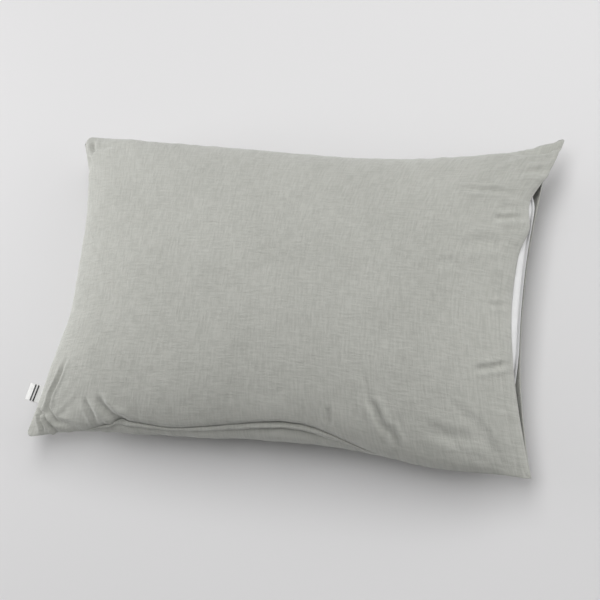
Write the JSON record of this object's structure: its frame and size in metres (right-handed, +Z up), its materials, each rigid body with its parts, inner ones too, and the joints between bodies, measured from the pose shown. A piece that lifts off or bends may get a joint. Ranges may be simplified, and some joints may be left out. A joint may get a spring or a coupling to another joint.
{
  "type": "bed pillow",
  "caption": "Bed pillow: a fibre-filled, piped insert in a crinkled gauze case with one open, hemmed end and a woven side label.",
  "frame": {"origin": "centre of the flattened patch on the back face, which the pillow lies on", "axes": "+X along the length, from the closed end to the open end of the case; +Y across the width; +Z up, out of the front face"},
  "size_m": [0.7436, 0.47, 0.1573],
  "materials": {
    "gauze": "matt crinkled cotton double gauze",
    "case_thread": "matt spun thread",
    "label_tape": "woven satin tape",
    "stripe_yarn": "woven yarn",
    "ticking": "fine plain-weave cotton",
    "piping_cord": "twisted cotton cord",
    "fibre": "loose polyester fibre",
    "insert_thread": "matt spun thread"
  },
  "bodies": {
    "case": {"case_front_panel": "gauze", "case_back_panel": "gauze", "opening_hem_front": "gauze", "opening_hem_back": "gauze", "front_hem_stitching": "case_thread", "back_hem_stitching": "case_thread", "top_seam_allowance": "gauze", "bottom_seam_allowance": "gauze", "end_seam_allowance": "gauze", "top_seam_thread": "case_thread", "bottom_seam_thread": "case_thread", "end_seam_thread": "case_thread", "opening_bar_tacks": "case_thread", "case_care_label": "label_tape"},
    "label": {"side_label": "label_tape", "side_label_stripes": "stripe_yarn"},
    "insert": {"insert_ticking_front": "ticking", "insert_ticking_back": "ticking", "insert_piping_cover": "ticking", "insert_piping_cord": "piping_cord", "insert_fibre_fill": "fibre", "insert_closing_stitches": "insert_thread", "insert_care_label": "label_tape"}
  },
  "joints": [
    {"name": "insert_slide", "type": "slide", "parent": "case", "child": "insert", "axis": [1, 0, 0], "range_m": [0, 0.76], "deforming": ["case_front_panel", "case_back_panel", "opening_hem_front", "opening_hem_back", "front_hem_stitching", "back_hem_stitching", "top_seam_allowance", "bottom_seam_allowance", "end_seam_allowance", "top_seam_thread", "bottom_seam_thread", "end_seam_thread", "opening_bar_tacks", "case_care_label"]},
    {"name": "label_flap", "type": "hinge", "parent": "case", "child": "label", "pos_m": [-0.35187, -0.18173, 0.05442], "axis": [0.2068, 0.9784, 0], "range_deg": [-80, 80]}
  ]
}
